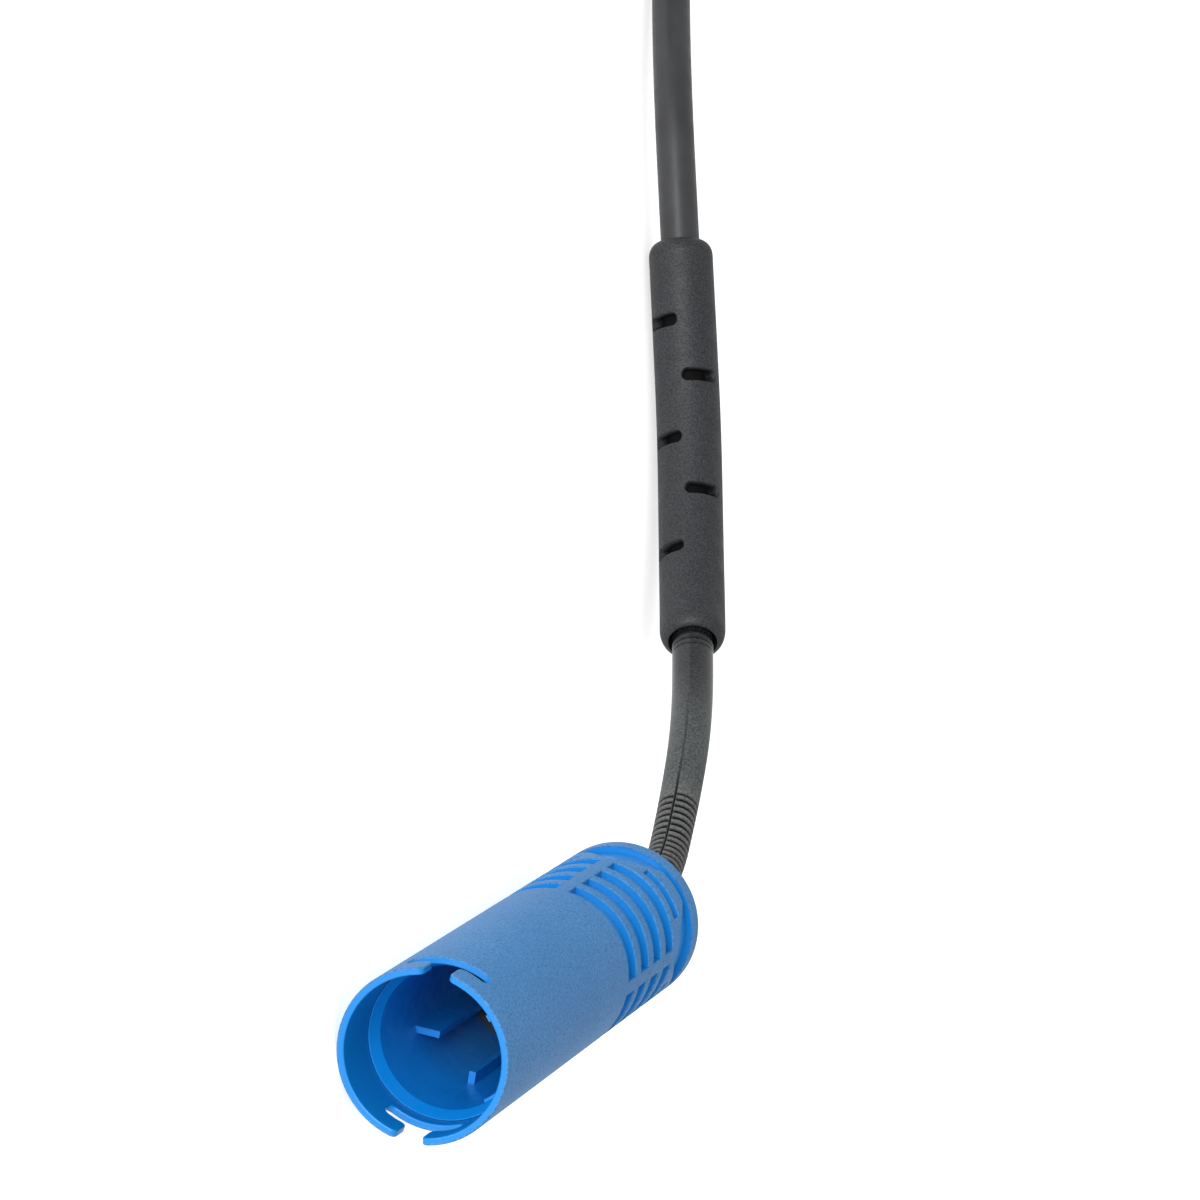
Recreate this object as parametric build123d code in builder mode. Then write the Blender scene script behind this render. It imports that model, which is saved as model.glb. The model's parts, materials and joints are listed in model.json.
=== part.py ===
"""Sensor lead with a round bayonet plug at one end and a bolt-on sensor head at the other.

The plug lies on its side: its axis is parallel to Y, its open mouth faces -Y and its outer sleeve rests
on the floor, z = 0.  Stations along the plug are measured from the mouth's rim, towards the rear.
"""
import os
from math import cos, pi, radians, sin, tan

from build123d import *

# Plug
PLUG_RADIUS = 10.0
PLUG_LENGTH = 76.5
MOUTH_RADIUS = 9.12
GRIP_BORE_RADIUS = 8.2
FRONT_BORE_LENGTH = 40.0
RUNNING_GAP = 0.06
RIM_FILLET = 0.2
REAR_FILLET = 0.5

# Bayonet slots: an entry notch at the rim and a slot across its end, twice
KEY_ANGLE = -18.5
SLOT_FRONT = 3.6
SLOT_REAR = 6.1
SLOT_HALF_ANGLE = 28.5
ENTRY_HALF_ANGLE = 9.0
SLOT_CORNER_FILLET = 0.8

# Small moulding pip inside the rim
PIP_ANGLE = 111.0
PIP_WIDTH_ANGLE = 5.0
PIP_OUTLINE = [(0.3, 9.3), (0.3, 8.85), (1.3, 8.7), (1.7, 9.3)]

# Grip grooves, in four sectors parted by plain bridges
GRIP_SECTOR_CENTRE = 27.0
GRIP_SECTOR_ANGLE = 80.0
GROOVE_DEPTH = 0.9
GROOVE_WIDTH = 3.3
GROOVE_STATIONS = (47.8, 53.0, 58.2, 63.4)
GROOVE_EDGE_FILLET = 0.2
GRIP_START = 45.0
SHORT_GROOVE_STATION = 67.7
SHORT_GROOVE_ANGLE = 40.0
SHORT_GROOVE_HALF_WIDTH = 1.0
SHORT_GROOVE_RISE = 0.3
REAR_GROOVE_END = 73.6
ROOF_EAVES = 66.4
ROOF_RIDGE = 71.8
ROOF_RIDGE_HALF_WIDTH = 2.2

# Stop lug of the inner body, and the arc groove of the sleeve that it turns in
STOP_STATION = 42.0
STOP_WIDTH = 3.0
STOP_HALF_ANGLE = 8.0
SLEEVE_TRAVEL = 20.0
STOP_SLACK = 1.0
STOP_PLAY = 0.2

# Inner body
BODY_FRONT = 8.0
NOSE_LENGTH = 1.7
NOSE_DRAFT = 0.02
CAVITY_RADIUS = 8.25
TAPER_END = 20.0
DEEP_RADIUS = 7.95
KEY_STATION = 20.5
KEY_THICKNESS = 0.8
KEY_END = 39.0
CAVITY_FLOOR = 42.0
WALL_END = 46.0
REAR_TUBE_RADIUS = 6.7
BODY_END = 68.0
TONGUE_START_ANGLE = -16.0
TONGUE_END_ANGLE = 74.0
TONGUE_STATION = 10.6
RAMP_ANGLE = 3.0
RAMP_RISE = 2.2
RAMP_ARC = 60.0

# Keys: a fin that stands across, and a short web on the cavity's wall
KEY_FIN_PLACE = (3.25, 6.3)
KEY_FIN_HEIGHT = 3.8
KEY_WEB_PLACE = (7.4, -0.2)
KEY_WEB_LENGTH = 1.8

# Retaining ring, open at the bottom, and its groove and seat
RING_STATION = 60.1
RING_THICKNESS = 1.0
RING_INNER_RADIUS = 7.6
RING_OUTER_RADIUS = 8.8
RING_SEAT_INNER = 8.0
RING_SEAT_OUTER = 8.9
RING_SLACK = 0.2
RING_START_ANGLE = -75.0
RING_ARC = 330.0

# Seals
SEAL_LIP_RADIUS = 7.2
SEAL_WAIST_RADIUS = 6.7
SEAL_LIP_PITCH = 0.8
WIRE_SEAL_RIB = 0.3
WIRE_SEAL_STEP = 0.5

# Secondary lock: a wedge in the carrier's side
LOCK_SETBACK = 4.0
LOCK_OFFSET = 4.0
LOCK_WIDTH = 12.0
LOCK_HEIGHT = 2.4
LOCK_THICKNESS = 1.6

# Contacts
CONTACT_SPACING = 4.4
CONTACT_TIP = 31.0
CONTACT_RADIUS = 0.75
CARRIER_RADIUS = 5.2
CARRIER_END = 57.0
CRIMP_LENGTH = 6.0
CORE_RADIUS = 0.85
CORE_END = 67.5
CRIMP_WALL = 0.4
FERRULE_START = 67.8
FERRULE_LENGTH = 2.5
FERRULE_WALL = 0.5

# Cable
CABLE_RADIUS = 2.7
INNER_CABLE_RADIUS = 2.0
BOOT_BORE_RADIUS = 2.05
BOOT_ROOT_STATION = 70.5
BOOT_ROOT_END = 73.9
BOOT_ROOT_RADIUS = 4.1
CAP_BORE_RADIUS = 4.2
CAP_STEP_STATION = 74.0
CAP_SPIGOT = 3.0
CABLE_SLEEVE_RADIUS = 4.45
CABLE_SLEEVE_START = 64.2
CABLE_SLEEVE_END = 125.5
CABLE_SLEEVE_FILLET = 1.3
SLEEVE_SLOT_WIDTH = 2.0
SLEEVE_SLOT_ANGLE = 70.0
SLEEVE_SLOT_DEPTH = 1.5
SLEEVE_SLOT_PITCH = 17.5
SLEEVE_SLOT_STAGGER = 9.3
SLEEVE_FIRST_SLOT = 78.2
SLEEVE_ROW_ANGLES = (31.0, 137.0, 211.0, 317.0)
SLEEVE_ROW_SLOTS = 3

# Route of the cable's centre line, from the plug's rear to the coil
ROUTE = [
    (0.0, 38.25, 10.0),
    (0.0, 54.5, 10.0),
    (-10.0, 69.0, 10.2),
    (-18.0, 83.0, 9.0),
    (-28.0, 96.0, 6.8),
    (-39.5, 106.2, 5.3),
    (-54.1, 114.7, 4.75),
    (-69.6, 120.4, 4.58),
    (-84.5, 125.3, 4.55),
    (-99.5, 130.7, 4.4),
    (-113.5, 139.9, 3.4),
    (-130.0, 151.5, 2.7),
    (-147.0, 161.0, 2.7),
]
BOOT_RUN = 4

# Coil of the put-away cable, two turns wide and two turns high
COIL_MEAN_RADIUS = 29.5
ENTRY_OVERLAP = 9.0
TAIL_DROP = [
    (0.0, -16.0, -1.4),
    (-1.5, -30.0, -4.4),
    (0.5, -43.0, -2.1),
    (0.5, -54.0, -2.1),
]

# Sensor head
SENSOR_AXIS_HEIGHT = 6.0
SENSOR_BOOT_LENGTH = 16.0
SENSOR_WIDTH = 13.0
SENSOR_LENGTH = 24.0
NOSE_RADIUS = 5.5
SENSOR_NOSE_LENGTH = 16.0
NOSE_WALL = 1.1
EAR_THICKNESS = 6.0
EAR_HOLE_OFFSET = 13.5
BUSH_RADIUS = 5.0
BOLT_RADIUS = 3.3
SEAL_CORD_RADIUS = 0.85
SEAL_GROOVE_RADIUS = 4.25
SEAL_STATION = 2.2
BOOT_RIBS = 5
BOOT_RIB_START = 2.5
BOOT_RIB_PITCH = 2.4
BOOT_GROOVE_WIDTH = 1.0
BOOT_START_WALL = 0.5
BOOT_END_WALL = 2.0
NOSE_HOLLOW_START = 6.0
MAGNET_LENGTH = 4.0
CHIP_WIDTH = 5.2
CHIP_HEIGHT = 4.0
CHIP_THICKNESS = 1.6
NOSE_CAP_LIP = 1.2
NOSE_CAP_PLUG = 1.5

FRONT = -PLUG_LENGTH / 2
PLUG_CENTRE = (0.0, FRONT, PLUG_RADIUS)
PLUG_AXIS = Axis(PLUG_CENTRE, (0, -1, 0))
TAPER = [
    (TONGUE_STATION, DEEP_RADIUS - 1),
    (TONGUE_STATION, CAVITY_RADIUS),
    (TAPER_END, DEEP_RADIUS - 0.01),
    (TAPER_END, DEEP_RADIUS - 1),
]


def radial_plane(angle):
    """Plane through the plug's axis: local x runs along the plug, local y is the radius at the angle."""
    turn = radians(angle)
    return Plane(origin=PLUG_CENTRE, x_dir=(0, 1, 0), z_dir=(sin(turn), 0, -cos(turn)))


def cross_plane(station):
    """Plane across the plug at a station: local x is world X, and the normal points to the rear."""
    return Plane(origin=(0, FRONT + station, PLUG_RADIUS), x_dir=(1, 0, 0), z_dir=(0, 1, 0))


def local_angle(angle):
    """Angle in a cross plane, whose local y points down, of an angle counted from +X towards +Z."""
    return -angle


def turned_profile(points, angle=90.0, arc=360.0, mode=Mode.ADD):
    """Revolve a closed outline of (station, radius) points about the plug's axis."""
    with BuildSketch(radial_plane(angle)) as outline:
        with BuildLine():
            Polyline(*points, close=True)
        make_face()
    revolve(outline.sketch, axis=PLUG_AXIS, revolution_arc=arc, mode=mode)


def ring_profile(start, end, inner, outer):
    """Outline of a plain ring between two stations."""
    return [(start, inner), (end, inner), (end, outer), (start, outer)]


def groove_profile(station, half_width, floor):
    """Outline of a groove in the plug's skin, down to a floor radius."""
    return ring_profile(station - half_width, station + half_width, floor, PLUG_RADIUS + 1)


def route_radii(points):
    """Largest arc radius that fits at each inner point of a route."""
    radii = []
    for before, here, after in zip(points, points[1:], points[2:]):
        run_in = Vector(*here) - Vector(*before)
        run_out = Vector(*after) - Vector(*here)
        turn = radians(run_in.get_angle(run_out))
        radii.append(0.45 * min(run_in.length, run_out.length) / tan(turn / 2))
    return radii


def route_point(points, run, fraction):
    """Point and direction on a run of a route."""
    start = Vector(*points[run])
    step = Vector(*points[run + 1]) - start
    return start + step * fraction, step.normalized()


def start_plane(points):
    """Plane across the first run of a route."""
    place, heading = route_point(points, 0, 0.0)
    return Plane(origin=place, z_dir=heading)


def sweep_tube(points, radius, bore=0.0):
    """Sweep a round section, hollow if a bore is given, along a route of runs and tangent arcs."""
    with BuildLine() as path:
        FilletPolyline(*points, radius=route_radii(points))
    with BuildSketch(start_plane(points)) as section:
        Circle(radius)
        if bore:
            Circle(bore, mode=Mode.SUBTRACT)
    sweep(section.sketch, path=path.line)


def report_tube(name, part, points, radius, bore=0.0):
    """Print the bend radii and compare the volume with section times length."""
    with BuildLine() as line:
        FilletPolyline(*points, radius=route_radii(points))
    length = line.wires()[0].length
    section = pi * (radius**2 - bore**2)
    print(name, "length", round(length, 1), "volume ratio", round(part.volume / (section * length), 4))
    print("  radii", [round(r, 1) for r in route_radii(points)])


def save(builder, name):
    """Label a finished piece and write it."""
    builder.part.label = name
    export_step(builder.part, f"parts/{name}.step")


def roof_cutter(centre):
    """Rear grip groove of one sector, with the gable-shaped island in front of it left standing."""
    half_width = PLUG_RADIUS * sin(radians(GRIP_SECTOR_ANGLE / 2))
    edge = PLUG_RADIUS * sin(pi / 4)
    outline = [
        (ROOF_EAVES, -edge),
        (ROOF_EAVES, -half_width),
        (ROOF_RIDGE, -ROOF_RIDGE_HALF_WIDTH),
        (ROOF_RIDGE, ROOF_RIDGE_HALF_WIDTH),
        (ROOF_EAVES, half_width),
        (ROOF_EAVES, edge),
        (REAR_GROOVE_END, edge),
        (REAR_GROOVE_END, -edge),
    ]
    turn = radians(centre)
    outward = Plane(origin=PLUG_CENTRE, x_dir=(0, 1, 0), z_dir=(cos(turn), 0, sin(turn)))
    with BuildPart() as cutter:
        with BuildSketch(outward):
            with BuildLine():
                Polyline(*outline, close=True)
            make_face()
        extrude(amount=PLUG_RADIUS + 2)
        floor = PLUG_RADIUS - GROOVE_DEPTH
        turned_profile(ring_profile(60, 75, floor, PLUG_RADIUS + 1), mode=Mode.INTERSECT)
    return cutter.part


def make_coupling_sleeve(rear_cutters):
    """Outer sleeve: thin mouth with two bayonet slots, thick grooved grip, open rear."""
    outline = [
        (0, MOUTH_RADIUS),
        (FRONT_BORE_LENGTH, MOUTH_RADIUS),
        (FRONT_BORE_LENGTH, GRIP_BORE_RADIUS),
        (PLUG_LENGTH, GRIP_BORE_RADIUS),
        (PLUG_LENGTH, PLUG_RADIUS),
        (0, PLUG_RADIUS),
    ]
    floor = PLUG_RADIUS - GROOVE_DEPTH
    with BuildPart() as sleeve:
        turned_profile(outline)
        rear_circles = sleeve.edges().filter_by(GeomType.CIRCLE).group_by(Axis.Y)[-1]
        rear_rim = rear_circles.sort_by(SortBy.RADIUS)[-1]
        fillet(rear_rim, REAR_FILLET)
        for entry in (KEY_ANGLE, KEY_ANGLE + 180):
            slot = ring_profile(SLOT_FRONT, SLOT_REAR, MOUTH_RADIUS - 1, PLUG_RADIUS + 1)
            turned_profile(slot, entry - SLOT_HALF_ANGLE, 2 * SLOT_HALF_ANGLE, Mode.SUBTRACT)
            notch = ring_profile(-1, SLOT_FRONT + 0.5, MOUTH_RADIUS - 1, PLUG_RADIUS + 1)
            turned_profile(notch, entry - ENTRY_HALF_ANGLE, 2 * ENTRY_HALF_ANGLE, Mode.SUBTRACT)
        slot_corners = sleeve.edges().filter_by(GeomType.LINE).filter_by(lambda e: e.length < 1.2)
        fillet(slot_corners, SLOT_CORNER_FILLET)
        fillet(sleeve.edges().group_by(Axis.Y)[0], RIM_FILLET)
        for sector in range(4):
            centre = GRIP_SECTOR_CENTRE + 90 * sector
            start = centre - GRIP_SECTOR_ANGLE / 2
            for station in GROOVE_STATIONS:
                groove = groove_profile(station, GROOVE_WIDTH / 2, floor)
                turned_profile(groove, start, GRIP_SECTOR_ANGLE, Mode.SUBTRACT)
            short_start = centre - SHORT_GROOVE_ANGLE / 2
            short = groove_profile(SHORT_GROOVE_STATION, SHORT_GROOVE_HALF_WIDTH, floor + SHORT_GROOVE_RISE)
            turned_profile(short, short_start, SHORT_GROOVE_ANGLE, Mode.SUBTRACT)
        for cutter in rear_cutters:
            add(cutter, mode=Mode.SUBTRACT)
        skin = sleeve.faces().filter_by(GeomType.CYLINDER).sort_by(SortBy.AREA)[-1]
        grip = (FRONT + GRIP_START, FRONT + REAR_GROOVE_END + 1)
        in_grip = skin.edges().filter_by(lambda e: grip[0] < e.center().Y < grip[1])
        fillet(in_grip, GROOVE_EDGE_FILLET)
        turned_profile(PIP_OUTLINE, PIP_ANGLE, PIP_WIDTH_ANGLE)
        stop_end = STOP_STATION + STOP_WIDTH + 2 * STOP_PLAY
        stop = ring_profile(STOP_STATION, stop_end, GRIP_BORE_RADIUS - 1, MOUTH_RADIUS)
        stop_half = STOP_HALF_ANGLE + SLEEVE_TRAVEL + STOP_SLACK
        for side in (0, 180):
            turned_profile(stop, side - stop_half, 2 * stop_half, Mode.SUBTRACT)
        seat_end = RING_STATION + RING_THICKNESS + RING_SLACK
        seat = ring_profile(RING_STATION - RING_SLACK, seat_end, RING_SEAT_INNER, RING_SEAT_OUTER)
        turned_profile(seat, mode=Mode.SUBTRACT)
    return sleeve


def tongue_ramp():
    """What is taken off the tongue's corner, so that its edge climbs slantwise to the front."""
    turn = radians(RAMP_ANGLE)
    outward = Plane(origin=PLUG_CENTRE, x_dir=(0, 1, 0), z_dir=(cos(turn), 0, sin(turn)))
    low = -2 * RAMP_RISE
    outline = [
        (TONGUE_STATION, low),
        (TONGUE_STATION, RAMP_RISE),
        (TAPER_END, -RAMP_RISE),
        (TAPER_END, low),
    ]
    with BuildPart() as corner:
        with BuildSketch(outward):
            with BuildLine():
                Polyline(*outline, close=True)
            make_face()
        extrude(amount=PLUG_RADIUS)
        turned_profile(TAPER, TONGUE_START_ANGLE, RAMP_ARC, mode=Mode.INTERSECT)
    return corner.part


def make_plug_body(ramp):
    """Inner body: tapered nose ring, keyed cavity, floor with the carrier's hole, and rear tube."""
    outer = MOUTH_RADIUS - RUNNING_GAP
    shank = GRIP_BORE_RADIUS - RUNNING_GAP
    outline = [
        (BODY_FRONT, outer - 0.1),
        (BODY_FRONT + NOSE_LENGTH, CAVITY_RADIUS),
        (TONGUE_STATION, CAVITY_RADIUS - NOSE_DRAFT),
        (TONGUE_STATION, DEEP_RADIUS),
        (CAVITY_FLOOR, DEEP_RADIUS),
        (CAVITY_FLOOR, CARRIER_RADIUS),
        (WALL_END, CARRIER_RADIUS),
        (WALL_END, REAR_TUBE_RADIUS),
        (BODY_END, REAR_TUBE_RADIUS),
        (BODY_END, shank),
        (FRONT_BORE_LENGTH - 0.1, shank),
        (FRONT_BORE_LENGTH - 0.1, outer),
        (BODY_FRONT, outer),
    ]
    with BuildPart() as body:
        turned_profile(outline)
        taper_arc = 360 - TONGUE_END_ANGLE + TONGUE_START_ANGLE
        turned_profile(TAPER, TONGUE_END_ANGLE, taper_arc, Mode.SUBTRACT)
        add(ramp, mode=Mode.SUBTRACT)
        with BuildSketch(cross_plane(KEY_STATION)):
            with Locations(Rot(0, 0, local_angle(KEY_ANGLE))):
                with Locations(KEY_FIN_PLACE):
                    Rectangle(KEY_THICKNESS, KEY_FIN_HEIGHT)
                with Locations(KEY_WEB_PLACE):
                    Rectangle(KEY_WEB_LENGTH, KEY_THICKNESS)
        extrude(amount=KEY_END - KEY_STATION)
        lug_start = STOP_STATION + STOP_PLAY
        lug = ring_profile(lug_start, lug_start + STOP_WIDTH, shank - 0.5, outer - 0.1)
        for side in (0, 180):
            turned_profile(lug, side - STOP_HALF_ANGLE, 2 * STOP_HALF_ANGLE)
        groove_end = RING_STATION + RING_THICKNESS
        groove = ring_profile(RING_STATION, groove_end, RING_INNER_RADIUS, MOUTH_RADIUS)
        turned_profile(groove, mode=Mode.SUBTRACT)
    return body


def make_rear_cap():
    """Cap that closes the rear and grips the root of the strain relief."""
    outline = [
        (BODY_END - CAP_SPIGOT, CAP_BORE_RADIUS),
        (CAP_STEP_STATION, CAP_BORE_RADIUS),
        (CAP_STEP_STATION, CABLE_RADIUS),
        (PLUG_LENGTH - 0.4, CABLE_RADIUS),
        (PLUG_LENGTH - 0.4, GRIP_BORE_RADIUS - 0.9),
        (PLUG_LENGTH - 1.2, GRIP_BORE_RADIUS - RUNNING_GAP),
        (BODY_END, GRIP_BORE_RADIUS - RUNNING_GAP),
        (BODY_END, REAR_TUBE_RADIUS),
        (BODY_END - CAP_SPIGOT, REAR_TUBE_RADIUS),
    ]
    with BuildPart() as cap:
        turned_profile(outline)
    return cap


def make_retaining_ring():
    """Spring ring, open at the bottom, in the inner body's groove."""
    ring_end = RING_STATION + RING_THICKNESS
    outline = ring_profile(RING_STATION, ring_end, RING_INNER_RADIUS, RING_OUTER_RADIUS)
    with BuildPart() as ring:
        turned_profile(outline, RING_START_ANGLE, RING_ARC)
    return ring


def make_interface_seal():
    """Rubber ring with two lips on the cavity's floor."""
    outline = [
        (CAVITY_FLOOR - 3 * SEAL_LIP_PITCH, SEAL_LIP_RADIUS),
        (CAVITY_FLOOR - 2 * SEAL_LIP_PITCH, SEAL_WAIST_RADIUS),
        (CAVITY_FLOOR - SEAL_LIP_PITCH, SEAL_LIP_RADIUS),
        (CAVITY_FLOOR, SEAL_WAIST_RADIUS),
        (CAVITY_FLOOR, DEEP_RADIUS),
        (CAVITY_FLOOR - 3 * SEAL_LIP_PITCH, DEEP_RADIUS),
    ]
    with BuildPart() as seal:
        turned_profile(outline)
    return seal


def make_contact_carrier():
    """Insert that holds the two contacts, with a raised nose in the cavity."""
    with BuildPart() as carrier:
        turned_profile(ring_profile(CAVITY_FLOOR - 1.5, CARRIER_END, 0, CARRIER_RADIUS))
        with BuildSketch(cross_plane(CAVITY_FLOOR - 2)):
            with GridLocations(CONTACT_SPACING, 1, 2, 1):
                Circle(CONTACT_RADIUS)
        extrude(amount=CARRIER_END, mode=Mode.SUBTRACT)
        with BuildSketch(cross_plane(CARRIER_END - LOCK_SETBACK)):
            with Locations((0, LOCK_OFFSET)):
                Rectangle(LOCK_WIDTH, LOCK_HEIGHT)
        extrude(amount=LOCK_THICKNESS, mode=Mode.SUBTRACT)
    return carrier


def make_contact_pin(side):
    """Turned contact: round tip, shank through the carrier, crimp barrel behind it."""
    with BuildPart() as pin:
        with BuildSketch(cross_plane(CONTACT_TIP)):
            with Locations((side * CONTACT_SPACING / 2, 0)):
                Circle(CONTACT_RADIUS)
        extrude(amount=CARRIER_END - CONTACT_TIP)
        tip = pin.edges().filter_by(GeomType.CIRCLE).sort_by(Axis.Y)[0]
        fillet(tip, CONTACT_RADIUS * 0.8)
        with BuildSketch(cross_plane(CARRIER_END)):
            with Locations((side * CONTACT_SPACING / 2, 0)):
                Circle(CORE_RADIUS + CRIMP_WALL)
        extrude(amount=CRIMP_LENGTH)
        with BuildSketch(cross_plane(CARRIER_END + 1)):
            with Locations((side * CONTACT_SPACING / 2, 0)):
                Circle(CORE_RADIUS)
        extrude(amount=CRIMP_LENGTH, mode=Mode.SUBTRACT)
    return pin


def make_secondary_lock():
    """Wedge that slides into the carrier's side and keeps the contacts from backing out."""
    with BuildPart() as lock:
        with BuildSketch(cross_plane(CARRIER_END - LOCK_SETBACK)):
            Circle(CARRIER_RADIUS)
            with Locations((0, LOCK_OFFSET)):
                Rectangle(LOCK_WIDTH, LOCK_HEIGHT, mode=Mode.INTERSECT)
        extrude(amount=LOCK_THICKNESS)
    return lock


def make_wire_seal():
    """Ribbed rubber bung round the two cores."""
    start = CARRIER_END + CRIMP_LENGTH + 0.2
    low = REAR_TUBE_RADIUS - WIRE_SEAL_RIB
    end = start + 3.6 * WIRE_SEAL_STEP
    outline = [
        (start, 0),
        (start, low),
        (start + WIRE_SEAL_STEP, REAR_TUBE_RADIUS),
        (start + 2 * WIRE_SEAL_STEP, low),
        (start + 3 * WIRE_SEAL_STEP, REAR_TUBE_RADIUS),
        (end, low),
        (end, 0),
    ]
    with BuildPart() as seal:
        turned_profile(outline)
        with BuildSketch(cross_plane(start - 1)):
            with GridLocations(CONTACT_SPACING, 1, 2, 1):
                Circle(CORE_RADIUS)
        extrude(amount=4, mode=Mode.SUBTRACT)
    return seal


def make_core(side):
    """Insulated core from a contact's crimp to the cut end of the inner cable."""
    offset = side * CONTACT_SPACING / 2
    near = side * (INNER_CABLE_RADIUS - CORE_RADIUS - 0.1)
    crimp_start = CARRIER_END + 1
    with BuildPart() as core:
        with BuildSketch(cross_plane(crimp_start)):
            with Locations((offset, 0)):
                Circle(CORE_RADIUS)
        extrude(amount=CRIMP_LENGTH + 1.2)
        with BuildSketch(cross_plane(crimp_start + CRIMP_LENGTH + 1.2)):
            with Locations((offset, 0)):
                Circle(CORE_RADIUS)
        with BuildSketch(cross_plane(CORE_END)):
            with Locations((near, 0)):
                Circle(CORE_RADIUS)
        loft()
    return core


def make_crimp_ferrule():
    """Brass band that clamps the inner cable in the cap."""
    end = FERRULE_START + FERRULE_LENGTH
    outline = ring_profile(FERRULE_START, end, INNER_CABLE_RADIUS, INNER_CABLE_RADIUS + FERRULE_WALL)
    with BuildPart() as ferrule:
        turned_profile(outline)
    return ferrule


def make_strain_relief(route):
    """Bent strain relief: a flanged root in the cap and a plain tube over the inner cable."""
    place, heading = route_point(route, BOOT_RUN, 0.5)
    with BuildPart() as boot:
        sweep_tube(route, CABLE_RADIUS, BOOT_BORE_RADIUS)
        split(bisect_by=Plane(origin=place, z_dir=heading), keep=Keep.BOTTOM)
        root = ring_profile(BOOT_ROOT_STATION, BOOT_ROOT_END, BOOT_BORE_RADIUS, BOOT_ROOT_RADIUS)
        turned_profile(root)
        turned_profile(ring_profile(BOOT_ROOT_END - 0.4, PLUG_LENGTH, BOOT_BORE_RADIUS, CABLE_RADIUS))
    return boot


def make_inner_cable(route):
    """Inner cable inside the strain relief, from the ferrule to the start of the outer jacket."""
    place, heading = route_point(route, BOOT_RUN, 0.5)
    with BuildPart() as cable:
        sweep_tube(route, INNER_CABLE_RADIUS)
        split(bisect_by=Plane(origin=place, z_dir=heading), keep=Keep.BOTTOM)
        turned_profile(ring_profile(CORE_END + 0.1, PLUG_LENGTH, 0, INNER_CABLE_RADIUS))
    return cable


def route_place(route, distance):
    """Point and heading at a distance along the route's runs and arcs."""
    with BuildLine() as path:
        FilletPolyline(*route, radius=route_radii(route))
    trail = path.wires()[0]
    place = trail.position_at(distance, position_mode=PositionMode.LENGTH)
    heading = trail.tangent_at(distance, position_mode=PositionMode.LENGTH)
    return place, heading


def sleeve_slot(place, heading, angle):
    """Cutter for one blind slot, counted from the sleeve's right side towards its top."""
    across = heading.cross(Vector(0, 0, 1)).normalized()
    spread = 2 * CABLE_SLEEVE_RADIUS * tan(radians(SLEEVE_SLOT_ANGLE / 2))
    reach = 2 * CABLE_SLEEVE_RADIUS
    with BuildPart() as cutter:
        with BuildSketch(Plane(origin=place, x_dir=across, z_dir=-heading)):
            with Locations(Rot(0, 0, angle)):
                Polygon((0, 0), (reach, -spread), (reach, spread), align=None)
            Circle(CABLE_SLEEVE_RADIUS - SLEEVE_SLOT_DEPTH, mode=Mode.SUBTRACT)
        extrude(amount=SLEEVE_SLOT_WIDTH / 2, both=True)
    return cutter.part


def sleeve_slots(route):
    """Cutters of the four staggered rows of slots."""
    cutters = []
    for row, angle in enumerate(SLEEVE_ROW_ANGLES):
        offset = SLEEVE_SLOT_STAGGER * (row % 2)
        for index in range(SLEEVE_ROW_SLOTS):
            distance = SLEEVE_FIRST_SLOT + offset + index * SLEEVE_SLOT_PITCH
            if distance > CABLE_SLEEVE_END - SLEEVE_SLOT_PITCH / 2:
                continue
            place, heading = route_place(route, distance)
            cutters.append(sleeve_slot(place, heading, angle))
    return cutters


def make_cable_sleeve(route, slots):
    """Black sleeve over the joint of strain relief and cable, with four staggered rows of slots."""
    first, first_heading = route_place(route, CABLE_SLEEVE_START)
    last, last_heading = route_place(route, CABLE_SLEEVE_END)
    with BuildPart() as sleeve:
        sweep_tube(route, CABLE_SLEEVE_RADIUS, CABLE_RADIUS)
        split(bisect_by=Plane(origin=first, z_dir=first_heading), keep=Keep.TOP)
        split(bisect_by=Plane(origin=last, z_dir=last_heading), keep=Keep.BOTTOM)
        whole = sleeve.edges().filter_by(lambda e: abs(e.length - 2 * pi * CABLE_SLEEVE_RADIUS) < 0.5)
        rims = [whole.sort_by_distance(first)[0], whole.sort_by_distance(last)[0]]
        fillet(rims, CABLE_SLEEVE_FILLET)
        for cutter in slots:
            add(cutter, mode=Mode.SUBTRACT)
    return sleeve


def make_cable(route):
    """Outer jacket from inside the black sleeve to the coil."""
    place, heading = route_point(route, BOOT_RUN, 0.5)
    with BuildPart() as cable:
        sweep_tube(route, CABLE_RADIUS)
        split(bisect_by=Plane(origin=place, z_dir=heading), keep=Keep.TOP)
    return cable


def coil_centre():
    """Centre of the coil, on the left of the route's last run, an outer turn's radius away."""
    end, heading = route_point(ROUTE, len(ROUTE) - 2, 1.0)
    outer_turn = COIL_MEAN_RADIUS + CABLE_RADIUS
    entry = end + heading * ENTRY_OVERLAP
    return entry + Vector(-heading.Y, heading.X, 0) * outer_turn


def make_coil(centre):
    """Outer shape of the coil: a ring two turns wide and two turns high with round edges."""
    with BuildPart() as coil:
        with BuildSketch(Plane(origin=(centre.X, centre.Y, 0))):
            Circle(COIL_MEAN_RADIUS + 2 * CABLE_RADIUS)
            Circle(COIL_MEAN_RADIUS - 2 * CABLE_RADIUS, mode=Mode.SUBTRACT)
        extrude(amount=4 * CABLE_RADIUS)
        fillet(coil.edges().filter_by(GeomType.CIRCLE), CABLE_RADIUS * 0.9)
    return coil


def tail_route(centre):
    """Route from the coil's upper outer turn to the sensor's boot."""
    side = Vector(centre.X - COIL_MEAN_RADIUS - CABLE_RADIUS, centre.Y, 3 * CABLE_RADIUS)
    points = [(side.X, side.Y - ENTRY_OVERLAP, side.Z)]
    for step in TAIL_DROP:
        points.append((side.X + step[0], side.Y + step[1] - ENTRY_OVERLAP, side.Z + step[2]))
    return points


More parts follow.
